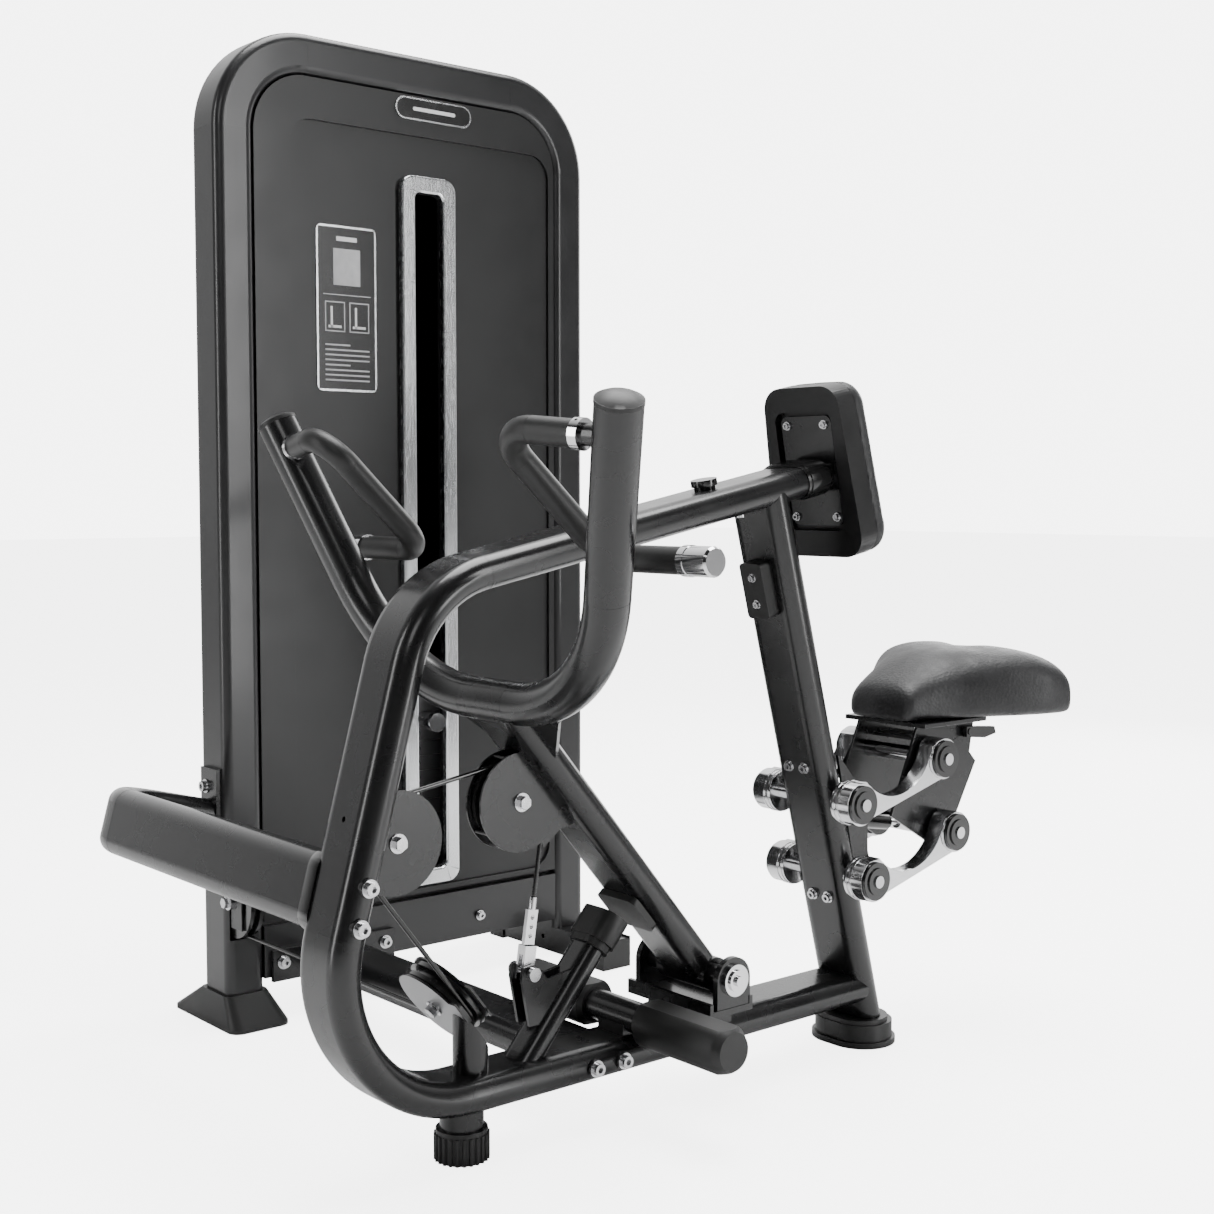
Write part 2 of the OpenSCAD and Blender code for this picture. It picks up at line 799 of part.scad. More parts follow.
// Rounded corners where the top tube bends into the posts
module tower_corners()
    for (s = [-1, 1])
        difference() {
            translate([-680, 375 + s * 293 - 96, tower_h - 65 - 95.2]) cube([60, 192, 200]);
            translate([-690, 375 + s * (293 - 95), tower_h - 65 - 95.2]) rotate([0, 90, 0])
                cylinder(r = 94.8, h = 100);
            translate([-690, 375 + (s > 0 ? -293 : -95), 0]) cube([100, 388, 2000]);
        }

module slot_bezel()
    color(steel) difference() {
        translate([-657.9, slot_mid, slot_z]) rotate([90, 0, 90]) linear_extrude(14) rounded(108, 1182, 22);
        translate([-670, slot_mid, slot_z]) rotate([90, 0, 90]) linear_extrude(60) rounded(54, 1127, 12);
    }

module placard()
    color(steel) translate([-657.9, 247, 1129]) rotate([90, 0, 90]) linear_extrude(2) rounded(111, 263, 10);

module badge()
    color(steel) translate([-652.9, 414, 1463]) rotate([90, 0, 90]) linear_extrude(3) rounded(150, 36, 17.9);

module rear_shroud()
    color(black) difference() {
        translate([tower_x - post_d - 95, 375, 785]) rotate([90, 0, 90]) linear_extrude(94.9)
            difference() {
                rounded(598, 1420, 110);
                translate([-350, -720]) square([700, 20]);
            }
        translate([tower_x - post_d - 92, 375, 785]) rotate([90, 0, 90]) linear_extrude(100)
            rounded(592, 1400, 107);
    }

module guide_rods()
    color(steel) for (s = [-1, 1])
        translate([stack_x, stack_y + s * rod_y, 151.5]) cylinder(d = 20, h = 1256);

module stack_cushions()
    color(rubber) for (s = [-1, 1])
        translate([stack_x, stack_y + s * rod_y, 159.1]) difference() {
            cylinder(d = 46, h = stack_z - 159.5);
            translate([0, 0, -1]) cylinder(d = 20.4, h = 80);
        }

module weight_plate()
    difference() {
        translate([stack_x - 55, stack_y - 150, 0]) cube([110, 300, plate_t]);
        for (s = [-1, 1])
            translate([stack_x, stack_y + s * rod_y, -1]) cylinder(d = 20 + 2 * gap, h = 40);
        translate([stack_x, stack_y, -1]) cylinder(d = 28, h = 40);
        translate([stack_x, stack_y, plate_t / 2]) rotate([0, 90, 0]) cylinder(d = 10.6, h = 70);
    }

module resting_stack()
    color(black) for (i = [0 : resting_plates - 1])
        translate([0, 0, stack_z + i * plate_pitch]) weight_plate();

module lifted_plates()
    color(black) translate([0, 0, lifted_z]) weight_plate();

module head_plate()
    color(black) difference() {
        translate([stack_x - 55, stack_y - 150, head_z]) cube([110, 300, 32]);
        for (s = [-1, 1])
            translate([stack_x, stack_y + s * rod_y, head_z - 1]) cylinder(d = 20 + 2 * gap, h = 40);
        translate([stack_x, stack_y, head_z - 1]) cylinder(d = 24, h = 40);
    }

module selector_stem()
    color(steel) difference() {
        translate([stack_x, stack_y, 0]) {
            translate([0, 0, stack_z + 2]) cylinder(d = 24, h = head_z + 32 - stack_z);
            translate([0, 0, head_z + 32]) cylinder(d = 40, h = 14);
            translate([0, 0, head_z + 46]) cylinder(d = 18, h = 40);
        }
        for (i = [0 : resting_plates])
            translate([stack_x - 20, stack_y, stack_z + i * plate_pitch + plate_t / 2])
                rotate([0, 90, 0]) cylinder(d = 10.6, h = 40);
    }

module selector_pin()
    color(steel) translate([0, stack_y, pin_z]) rotate([0, 90, 0]) {
        translate([0, 0, stack_x - 12]) cylinder(d = 10, h = 103);
        translate([0, 0, -655]) cylinder(d = 18, h = 6);
        translate([0, 0, -649]) cylinder(d = 32, h = 18);
    }

module stack_cable()
    color(rubber) translate([stack_x, stack_y, head_z + 86.2]) cylinder(d = cable_d, h = top_z - head_z - 87.2);

module rail_collar()
    color(rubber) difference() {
        union() {
            run(rail_at + rail_dir * 184, rail_at + rail_dir * 222) flat_oval(tube_w + 8, tube_t + 8);
            run(rail_at + rail_dir * 178, rail_at + rail_dir * 184.1) flat_oval(tube_w + 4, tube_t + 4);
        }
        run(rail_at + rail_dir * 170, rail_at + rail_dir * 214.05) flat_oval(tube_w + 0.1, tube_t + 0.1);
        run(rail_at + rail_dir * 210, rail_at + rail_dir * 230) flat_oval(tube_w - 2 * tube_wall + 1, tube_t - 2 * tube_wall + 1);
    }

module pad_tube()
    color(black) difference() {
        union() {
            run(rail_at - rail_dir * 110, rail_at + rail_dir * pad_s)
                flat_tube(tube_w - 2 * tube_wall - 2 * gap, tube_t - 2 * tube_wall - 2 * gap, 4);
            aim(rail_at + rail_dir * (pad_s - 6), rail_dir) linear_extrude(6)
                translate([0, -6]) rounded(98, 162, 12);
        }
        aim(rail_at + rail_dir * 21.4, rail_up)
            translate([-5.5, -6, 0]) cube([11, 12, 30]);
        run(rail_at + rail_dir * 27 + rail_up * 14, rail_at - rail_dir * 96 + rail_up * 14)
            square([11, 14], center = true);
        for (h = pad_bolts)
            aim(rail_at + rail_dir * pad_s + [h[0], 0, 0] + rail_up * h[1], rail_dir)
                translate([0, 0, -10]) cylinder(d = 6.2, h = 30);
    }

module pad_outline(top, low, high, deep, r)
    hull() {
        for (s = [-1, 1]) {
            translate([s * (top - r), high - r]) circle(r = r);
            translate([s * (low - r), -deep + r]) circle(r = r);
        }
    }

module pad_shell()
    color(black) difference() {
        aim(rail_at + rail_dir * (pad_s - 12), rail_dir, -mid_x)
            linear_extrude(34) pad_outline(74, 86, 130, 121, 34);
        aim(rail_at + rail_dir * (pad_s - 12.5), rail_dir, -mid_x)
            linear_extrude(12.6) translate([0, 6]) rounded(110, 176, 16);
        for (h = pad_bolts)
            aim(rail_at + rail_dir * pad_s + [h[0], 0, 0] + rail_up * h[1], rail_dir)
                translate([0, 0, -10]) cylinder(d = 6.2, h = 30);
    }

module pad_bolt_set()
    color(steel) for (h = pad_bolts)
        aim(rail_at + rail_dir * (pad_s - 6.02) + [h[0], 0, 0] + rail_up * h[1], -rail_dir) bolt(6, 22);

module pad_cushion()
    color(rubber) aim(rail_at + rail_dir * (pad_s + 22.1), rail_dir, -mid_x)
        hull() {
            linear_extrude(16) pad_outline(74, 86, 130, 121, 34);
            translate([0, 0, 30]) linear_extrude(2) pad_outline(64, 76, 120, 111, 30);
        }

module pull_pin()
    color(rubber) aim(rail_at + rail_dir * 21.4, rail_up) {
        translate([0, 0, 6]) cylinder(d = 10, h = 24);
        translate([0, 0, tube_t / 2 + 0.2]) cylinder(d = 30, h = 5);
        translate([0, 0, tube_t / 2 + 5]) cylinder(d = 37, h = 9);
    }

// Crescent plates bolted behind the post, with the tabs of the gas spring
module seat_bracket()
    color(black) difference() {
        union() {
            for (x = [-41, 41])
                side_plate(x, 5) polygon([
                    [on_post(450).y + 22, 450], [on_post(440).y + 34, 436], [on_post(400).y + 58, 396],
                    [on_post(350).y + 62, 350], [on_post(300).y + 50, 300], [on_post(250).y + 48, 262],
                    [on_post(225).y + 22, 225], [on_post(300).y + 15, 300]
                ]);
            across(spring_low, 8, 43);
        }
        post_core(100, 600);
        for (h = [hub_u, hub_l])
            across(h, 12.5 + gap, 60);
        across([0, spring_low.y, spring_low.z], 30, 13);
    }

module hub_shafts()
    color(steel) for (h = [hub_u, hub_l])
        across(h, 12.5, 95.5);

// Domed cover of a link hub, with a pocket for its bolt
module hub_cover(at)
    difference() {
        union() {
            across(at + [97.6, 0, 0], 28, 2);
            across(at + [100.6, 0, 0], 20, 1.4);
        }
        across(at + [104.1, 0, 0], 9.05, 4);
    }

module hub_bolt(at)
    across(at + [102.4, 0, 0], 9, 2.2);

module hub_covers()
    color(rubber) mirrored_x()
        for (h = [hub_u, hub_l])
            hub_cover(h);

// One pair of cast arms, post hub at the start and carriage hub at the end
module arm_pair(from)
    mirrored_x() difference() {
        union() {
            across(from + [78, 0, 0], hub_r, 17);
            across(from + arm_v + [80, 0, 0], hub_r, 15);
            difference() {
                side_plate(80, 26) translate([from.y, from.z]) rotate(14.5)
                    polygon([[0, -28], [193, -28], [193, 28], [0, 28]]);
                across(from + [80, 0, 0] + [0, 75.8, 92.5], 88, 20);
            }
            for (x = [66, 74])
                across(from + [x, 0, 0], hub_r + 1, 1.2);
        }
        across(from + [80, 0, 0], 12.5 + gap, 40);
        across(from + arm_v + [80, 0, 0], 12.5 + gap, 40);
    }

module upper_arms()
    color(steel) arm_pair(hub_u);

module lower_arms()
    color(steel) difference() {
        arm_pair(hub_l);
        across(seat_l, 14.5, 100);
    }

module carriage()
    color(black) difference() {
        union() {
            for (x = [-57, 57])
                side_plate(x, 5) {
                    polygon([[809, 484], [945, 481], [935, 429], [951, 413], [904, 335], [868, 291],
                        [840, 296], [749, 349]]);
                    translate([seat_l.y, seat_l.z]) circle(r = 28);
                }
            translate([-80, 800, 479]) cube([160, 150, 6.9]);
            translate([-57, 838, 452]) cube([114, 60, 5]);
        }
        across(seat_u, 12.5 + gap, 70);
        across(seat_l, 12.5 + gap, 70);
        across([57, 922, 472 - 9], 5.1, 6);
    }

module carriage_shafts()
    color(steel) for (h = [seat_u, seat_l]) {
        across(h, 12.5, 95.5);
        mirrored_x() hub_bolt(h);
    }

module carriage_covers()
    color(rubber) mirrored_x()
        for (h = [seat_u, seat_l])
            hub_cover(h);

module spring_cylinder()
    color(black) difference() {
        union() {
            aim(spring_low, spring_dir) translate([0, 0, 12]) cylinder(d = 24, h = 91);
            across(spring_low, 13, 9);
        }
        across(spring_low, 8 + gap, 12);
        aim(spring_low, spring_dir) translate([0, 0, 40]) cylinder(d = 10 + 2 * gap, h = 90);
    }

module spring_rod()
    color(steel) aim(spring_low, spring_dir) {
        translate([0, 0, 92]) cylinder(d = 10, h = 40);
        translate([0, 0, 128]) cylinder(d = 18, h = 8);
    }

module release_handle()
    color(rubber) {
        across([61.5, 922, 463], 5, 10);
        side_plate(66, 8) polygon([[914, 455], [914, 471], [940, 470], [984, 466], [988, 455], [960, 450]]);
    }

module seat()
    color(rubber) {
        hull() {
            for (x = [-1, 1]) {
                translate([x * 35, 816, 487]) cylinder(r = 34, h = 36);
                translate([x * 37, 822, 526]) sphere(r = 28, $fn = 20);
                translate([x * 54, 884, 487]) cylinder(r = 44, h = 46);
                translate([x * 56, 884, 550]) sphere(r = 38, $fn = 20);
            }
        }
        hull() {
            for (x = [-1, 1]) {
                translate([x * (seat_half - 76), 945, 487]) cylinder(r = 46, h = 30);
                translate([x * (seat_half - 52), 1010, 487]) cylinder(r = 52, h = 34);
                translate([x * (seat_half - 90), 940, 547]) sphere(r = 44, $fn = 20);
                translate([x * (seat_half - 62), 1000, 545]) sphere(r = 46, $fn = 20);
            }
        }
    }

// Nodes made of several separate pieces of one kind
module hinge_brackets() {
    pivot_bracket();
    seat_bracket();
}

module pulley_brackets() {
    front_guards();
    floor_column();
    corner_bracket();
    top_hanger();
}

module axle_bolts() {
    front_axle_bolt();
    floor_axle_bolt();
    corner_axle_bolt();
    top_axles();
}

module hinge_shafts() {
    pivot_shaft();
    hub_shafts();
}

module tie_tubes() {
    tie_beam();
    base_tube();
}

module frame_fasteners() {
    frame_bolts();
    anchor_pin();
    color(steel) mirrored_x()
        for (h = [hub_u, hub_l])
            hub_bolt(h);
}

module rubber_feet() {
    front_foot_cap();
    post_shoe();
    tower_boot();
    runner_feet();
}

module rubber_stops() {
    post_stop();
    rest_bumper();
    stack_cushions();
}

module plastic_collars() {
    tie_beam_cap();
    rail_collar();
}

module front_labels() {
    placard();
    badge();
}

module lever_rubbers() {
    yoke_caps();
    arm_stop_pad();
}

module lifted_stack() {
    lifted_plates();
    head_plate();
}

module fork() {
    yoke();
    handle_bars();
}

module frame_loop() {
    main_loop();
    front_foot();
}

frame_loop();
seat_post();
tie_tubes();
bumper_post();
hinge_brackets();
hinge_shafts();
hub_covers();
pulley_brackets();
axle_bolts();
frame_fasteners();
foot_bar();
foot_sleeves();
rubber_feet();
rubber_stops();
plastic_collars();
tower_frame();
front_shroud();
rear_shroud();
slot_bezel();
front_labels();
guide_rods();
resting_stack();
cable_main();
front_wheel();
floor_wheel();
corner_wheel();
top_wheel_a();
top_wheel_b();
lever_arm();
fork();
lever_rubbers();
handle_grips();
grip_rings();
lever_axle_bolt();
cable_wrap();
lever_wheel();
anchor_fork();
cable_a_low();
cable_a_high();
cable_b_near();
cable_b_far();
lifted_stack();
selector_stem();
stack_cable();
selector_pin();
pad_tube();
pad_shell();
pad_bolt_set();
pad_cushion();
pull_pin();
upper_arms();
lower_arms();
carriage();
carriage_shafts();
carriage_covers();
seat();
spring_cylinder();
spring_rod();
release_handle();
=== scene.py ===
# Looks of the seated row machine: materials, soft goods, cables, labels, studio.
# Metres, in the row frame: X from the tower to the exerciser's left, Y to the seat, Z up.
import math

import bmesh
import bpy
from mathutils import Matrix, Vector


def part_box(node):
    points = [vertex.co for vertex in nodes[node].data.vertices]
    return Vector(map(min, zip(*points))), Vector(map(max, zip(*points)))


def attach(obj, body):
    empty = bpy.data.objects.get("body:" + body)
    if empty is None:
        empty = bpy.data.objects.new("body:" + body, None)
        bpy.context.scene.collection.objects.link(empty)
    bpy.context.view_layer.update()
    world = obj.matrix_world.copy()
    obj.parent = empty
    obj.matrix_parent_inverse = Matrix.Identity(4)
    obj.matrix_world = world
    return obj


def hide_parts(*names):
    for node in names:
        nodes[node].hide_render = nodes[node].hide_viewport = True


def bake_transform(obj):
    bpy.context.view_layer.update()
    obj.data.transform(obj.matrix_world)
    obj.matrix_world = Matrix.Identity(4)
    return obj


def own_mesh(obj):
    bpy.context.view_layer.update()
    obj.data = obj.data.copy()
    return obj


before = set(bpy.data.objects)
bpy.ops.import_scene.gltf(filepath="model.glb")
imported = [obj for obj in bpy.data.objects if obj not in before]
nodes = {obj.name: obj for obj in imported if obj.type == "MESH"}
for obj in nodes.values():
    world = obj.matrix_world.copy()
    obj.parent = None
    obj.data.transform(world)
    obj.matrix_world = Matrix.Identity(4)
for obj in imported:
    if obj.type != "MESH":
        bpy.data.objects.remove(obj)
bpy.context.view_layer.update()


# ---------------------------------------------------------------- materials

def new_material(name):
    mat = bpy.data.materials.new(name)
    mat.use_nodes = True
    tree = mat.node_tree
    shader = tree.nodes["Principled BSDF"]
    return mat, tree, shader


def noise(tree, scale, detail=4.0, rough=0.55, stretch=(1, 1, 1)):
    coords = tree.nodes.new("ShaderNodeTexCoord")
    mapping = tree.nodes.new("ShaderNodeMapping")
    mapping.inputs["Scale"].default_value = stretch
    tex = tree.nodes.new("ShaderNodeTexNoise")
    tex.inputs["Scale"].default_value = scale
    tex.inputs["Detail"].default_value = detail
    tex.inputs["Roughness"].default_value = rough
    tree.links.new(coords.outputs["Object"], mapping.inputs["Vector"])
    tree.links.new(mapping.outputs["Vector"], tex.inputs["Vector"])
    return tex.outputs["Fac"]


def spread(tree, value, low, high, start=0.3, stop=0.7):
    ramp = tree.nodes.new("ShaderNodeMapRange")
    ramp.inputs["From Min"].default_value = start
    ramp.inputs["From Max"].default_value = stop
    ramp.inputs["To Min"].default_value = low
    ramp.inputs["To Max"].default_value = high
    tree.links.new(value, ramp.inputs["Value"])
    return ramp.outputs["Result"]


def tint(tree, value, dark, light):
    mix = tree.nodes.new("ShaderNodeMix")
    mix.data_type = "RGBA"
    mix.inputs["A"].default_value = (*dark, 1)
    mix.inputs["B"].default_value = (*light, 1)
    tree.links.new(value, mix.inputs["Factor"])
    return mix.outputs["Result"]


def painted_edge_highlight(tree, colour, highlight_colour, amount):
    """Painted edge highlight: lightens convex edges a little, broken up by noise."""
    geometry = tree.nodes.new("ShaderNodeNewGeometry")
    edge = spread(tree, geometry.outputs["Pointiness"], 0.0, amount, 0.52, 0.60)
    broken = tree.nodes.new("ShaderNodeMath")
    broken.operation = "MULTIPLY"
    tree.links.new(edge, broken.inputs[0])
    tree.links.new(noise(tree, 60, 5), broken.inputs[1])
    mix = tree.nodes.new("ShaderNodeMix")
    mix.data_type = "RGBA"
    mix.inputs["B"].default_value = (*highlight_colour, 1)
    tree.links.new(colour, mix.inputs["A"])
    tree.links.new(broken.outputs[0], mix.inputs["Factor"])
    return mix.outputs["Result"]


def bump(tree, shader, value, strength, distance):
    node = tree.nodes.new("ShaderNodeBump")
    node.inputs["Strength"].default_value = strength
    node.inputs["Distance"].default_value = distance
    tree.links.new(value, node.inputs["Height"])
    tree.links.new(node.outputs["Normal"], shader.inputs["Normal"])


def coated(name, dark, light, rough, grain=1400, grain_strength=0.03, coat=0.25, metallic=0.0, edge_highlight=0.35):
    mat, tree, shader = new_material(name)
    colour = tint(tree, noise(tree, 7, 6), dark, light)
    # Lighter convex edges are a painted edge highlight, its strength given per material
    if edge_highlight:
        colour = painted_edge_highlight(tree, colour, [min(1, 2.6 * c + 0.02) for c in light], edge_highlight)
    tree.links.new(colour, shader.inputs["Base Color"])
    tree.links.new(spread(tree, noise(tree, 14, 3), rough - 0.02, rough + 0.04), shader.inputs["Roughness"])
    shader.inputs["Metallic"].default_value = metallic
    shader.inputs["Coat Weight"].default_value = coat
    shader.inputs["Coat Roughness"].default_value = 0.12
    bump(tree, shader, noise(tree, grain, 2), grain_strength, 0.0003)
    return mat


def metal(name, dark, light, rough, stretch=(1, 1, 1), scale=180, strength=0.05):
    mat, tree, shader = new_material(name)
    streaks = noise(tree, scale, 5, 0.6, stretch)
    tree.links.new(tint(tree, streaks, dark, light), shader.inputs["Base Color"])
    shader.inputs["Metallic"].default_value = 1.0
    tree.links.new(spread(tree, streaks, rough, rough + 0.09), shader.inputs["Roughness"])
    bump(tree, shader, streaks, strength, 0.0002)
    return mat


def leather(name):
    mat, tree, shader = new_material(name)
    coords = tree.nodes.new("ShaderNodeTexCoord")
    cells = tree.nodes.new("ShaderNodeTexVoronoi")
    cells.inputs["Scale"].default_value = 210
    cells.inputs["Randomness"].default_value = 1.0
    tree.links.new(coords.outputs["Object"], cells.inputs["Vector"])
    tree.links.new(tint(tree, noise(tree, 9, 6), (0.008, 0.008, 0.009), (0.022, 0.022, 0.023)),
                   shader.inputs["Base Color"])
    tree.links.new(spread(tree, noise(tree, 30, 6), 0.42, 0.58), shader.inputs["Roughness"])
    add = tree.nodes.new("ShaderNodeMath")
    add.operation = "ADD"
    tree.links.new(cells.outputs["Distance"], add.inputs[0])
    tree.links.new(noise(tree, 45, 4), add.inputs[1])
    bump(tree, shader, add.outputs[0], 0.35, 0.0009)
    return mat


paint = coated("black_powder_coat", (0.004, 0.004, 0.0043), (0.0075, 0.0075, 0.008), 0.26, edge_highlight=0)
tower_paint = coated("tower_powder_coat", (0.009, 0.009, 0.0095), (0.013, 0.013, 0.014), 0.34, edge_highlight=0)
panel = coated("shroud_plastic", (0.004, 0.004, 0.0043), (0.007, 0.007, 0.0074), 0.38, grain=600, coat=0.05,
               edge_highlight=0.05)
rubber = coated("black_rubber", (0.003, 0.003, 0.003), (0.008, 0.008, 0.008), 0.44, grain=420,
                grain_strength=0.25, coat=0.0, edge_highlight=0.08)
gloss = coated("gloss_plastic", (0.004, 0.004, 0.004), (0.009, 0.009, 0.009), 0.18, grain=300,
               grain_strength=0.05, coat=0.4, edge_highlight=0.05)
# The weight plates carry the strongest painted edge highlight
iron = coated("plate_paint", (0.030, 0.030, 0.031), (0.070, 0.070, 0.072), 0.30, grain=350,
              grain_strength=0.3, coat=0.2, edge_highlight=0.5)
satin_steel = metal("satin_steel", (0.22, 0.22, 0.225), (0.36, 0.36, 0.37), 0.30, (1, 6, 1))
chrome = metal("chrome", (0.66, 0.66, 0.67), (0.84, 0.84, 0.85), 0.05, (1, 1, 1), 12, 0.0)
zinc = metal("zinc_plate", (0.50, 0.50, 0.51), (0.70, 0.70, 0.71), 0.16, (1, 1, 1), 400, 0.03)
aluminium = metal("polished_aluminium", (0.62, 0.62, 0.63), (0.86, 0.86, 0.87), 0.11, (1, 1, 4), 60, 0.02)
bezel = metal("brushed_bezel", (0.70, 0.71, 0.72), (0.82, 0.83, 0.84), 0.20, (1, 1, 0.05), 900, 0.02)
cover = leather("black_leather")
print_black = coated("label_black", (0.005, 0.005, 0.005), (0.009, 0.009, 0.009), 0.25, grain=200, coat=0.3)
print_grey = coated("label_grey", (0.28, 0.28, 0.29), (0.40, 0.40, 0.41), 0.35, grain=500, coat=0.2)
print_white = coated("label_white", (0.62, 0.62, 0.62), (0.80, 0.80, 0.80), 0.35, grain=500, coat=0.2)

LOOKS = {
    paint: "frame_loop seat_post tie_tubes bumper_post hinge_brackets pulley_brackets foot_bar"
           " lever_arm fork carriage pad_tube",
    tower_paint: "tower_frame",
    rubber: "foot_sleeves rubber_feet rubber_stops lever_rubbers handle_grips",
    gloss: "spring_cylinder release_handle pull_pin cable_main cable_wrap cable_a_low cable_a_high"
           " cable_b_near cable_b_far stack_cable front_wheel lever_wheel floor_wheel corner_wheel"
           " top_wheel_a top_wheel_b plastic_collars hub_covers carriage_covers",
    panel: "front_shroud rear_shroud pad_shell",
    chrome: "hinge_shafts guide_rods grip_rings selector_stem selector_pin carriage_shafts spring_rod anchor_fork",
    zinc: "axle_bolts frame_fasteners lever_axle_bolt pad_bolt_set",
    aluminium: "upper_arms lower_arms",
    bezel: "slot_bezel front_labels",
    iron: "resting_stack lifted_stack",
    cover: "seat pad_cushion",
}


def dress(obj, mat):
    obj.data.materials.clear()
    obj.data.materials.append(mat)


for mat, names in LOOKS.items():
    for name in names.split():
        dress(nodes[name], mat)

def in_region(face, middle, reach):
    return (face.center - Vector(middle)).length < reach


# The guard plates of the floor pulley are bare satin steel
FLOOR_WHEEL_CENTRE = (-0.051, 0.0074, 0.1899)
plates = nodes["pulley_brackets"].data
plates.materials.append(satin_steel)
for face in plates.polygons:
    if in_region(face, FLOOR_WHEEL_CENTRE, 0.068) and abs(face.normal.dot(Vector((0, 0.7915, 0.6112)))) > 0.98:
        face.material_index = 1

# Small rolled edges on parts with sharp outlines
SOFT_EDGED = {
    "front_shroud": 0.0035, "slot_bezel": 0.004, "resting_stack": 0.0016, "lifted_stack": 0.0016,
    "rubber_stops": 0.003, "lever_rubbers": 0.002, "rear_shroud": 0.004, "upper_arms": 0.003,
    "lower_arms": 0.003, "pad_shell": 0.005, "carriage": 0.0008, "selector_pin": 0.002,
    "rubber_feet": 0.0015, "pull_pin": 0.0015, "release_handle": 0.002, "hub_covers": 0.001,
    "carriage_covers": 0.001, "plastic_collars": 0.001, "foot_sleeves": 0.0006,
}
for name, width in SOFT_EDGED.items():
    obj = nodes[name]
    weld = obj.modifiers.new("join", "WELD")
    weld.merge_threshold = 0.00002
    roll = obj.modifiers.new("roll", "BEVEL")
    roll.width = width
    roll.segments = 3
    roll.limit_method = "ANGLE"
    roll.angle_limit = math.radians(40)
    roll.use_clamp_overlap = True
    roll.harden_normals = False


# ---------------------------------------------------------------- mesh helpers

def add_object(name, mesh, mat, body=None):
    obj = bpy.data.objects.new(name, mesh)
    bpy.context.scene.collection.objects.link(obj)
    dress(obj, mat)
    if body:
        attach(obj, body)
    return obj


def mesh_from_rings(name, rings, closed=True):
    """A tube of quads through rings of points, with fans at both ends."""
    bm = bmesh.new()
    loops = [[bm.verts.new(p) for p in ring] for ring in rings]
    count = len(rings[0])
    for a, b in zip(loops, loops[1:]):
        for i in range(count):
            j = (i + 1) % count
            bm.faces.new((a[i], a[j], b[j], b[i]))
    if closed:
        bm.faces.new(list(reversed(loops[0])))
        bm.faces.new(loops[-1])
    bmesh.ops.recalc_face_normals(bm, faces=bm.faces)
    mesh = bpy.data.meshes.new(name)
    bm.to_mesh(mesh)
    bm.free()
    for face in mesh.polygons:
        face.use_smooth = True
    return mesh


def straight_cable(name, start, end, radius, count=40):
    start, end = Vector(start), Vector(end)
    direction = (end - start).normalized()
    side = direction.cross(Vector((1, 0, 0))).normalized()
    other = direction.cross(side)
    rings = []
    for k in range(count + 1):
        centre = start.lerp(end, k / count)
        rings.append([centre + radius * (math.cos(a) * side + math.sin(a) * other)
                      for a in [2 * math.pi * i / 14 for i in range(14)]])
    return mesh_from_rings(name, rings)


def box_mesh(name, low, high, roll=0.0):
    bm = bmesh.new()
    bmesh.ops.create_cube(bm, size=1.0)
    for v in bm.verts:
        v.co = Vector([low[i] + (v.co[i] + 0.5) * (high[i] - low[i]) for i in range(3)])
    if roll:
        bmesh.ops.bevel(bm, geom=bm.edges[:], offset=roll, segments=3, affect="EDGES", profile=0.5)
    mesh = bpy.data.meshes.new(name)
    bm.to_mesh(mesh)
    bm.free()
    return mesh


def select_only(obj):
    bpy.ops.object.select_all(action="DESELECT")
    obj.select_set(True)
    bpy.context.view_layer.objects.active = obj


def apply_modifiers(obj):
    select_only(obj)
    for modifier in list(obj.modifiers):
        bpy.ops.object.modifier_apply(modifier=modifier.name)


def remesh(obj, size):
    modifier = obj.modifiers.new("voxels", "REMESH")
    modifier.mode = "VOXEL"
    modifier.voxel_size = size
    apply_modifiers(obj)
    smooth = obj.modifiers.new("smooth", "SMOOTH")
    smooth.iterations = 6
    smooth.factor = 0.5
    apply_modifiers(obj)


def pad_out(obj, pressure, fixed, frames=20, reach=0.006):
    """Cloth under pressure, with the points that fixed() picks held; no point moves further than reach."""
    rest = [v.co.copy() for v in obj.data.vertices]
    group = obj.vertex_groups.new(name="held")
    group.add([v.index for v in obj.data.vertices if fixed(v.co)], 1.0, "REPLACE")
    cloth = obj.modifiers.new("cloth", "CLOTH")
    settings = cloth.settings
    settings.quality = 6
    settings.mass = 0.4
    settings.tension_stiffness = 40
    settings.compression_stiffness = 40
    settings.shear_stiffness = 20
    settings.bending_stiffness = 8
    settings.use_pressure = True
    settings.uniform_pressure_force = pressure
    settings.effector_weights.gravity = 0.0
    settings.vertex_group_mass = "held"
    cloth.collision_settings.use_collision = False
    cloth.point_cache.frame_start = 1
    cloth.point_cache.frame_end = frames
    scene = bpy.context.scene
    for k in range(1, frames + 1):
        scene.frame_set(k)
    select_only(obj)
    bpy.ops.object.modifier_apply(modifier=cloth.name)
    scene.frame_set(1)
    for v, old in zip(obj.data.vertices, rest):
        move = v.co - old
        if move.length > reach:
            v.co = old + move * (reach / move.length)


def subdivide(obj):
    modifier = obj.modifiers.new("subdivide", "SUBSURF")
    modifier.levels = modifier.render_levels = 1
    apply_modifiers(obj)
    for face in obj.data.polygons:
        face.use_smooth = True


# ---------------------------------------------------------------- seat cushion

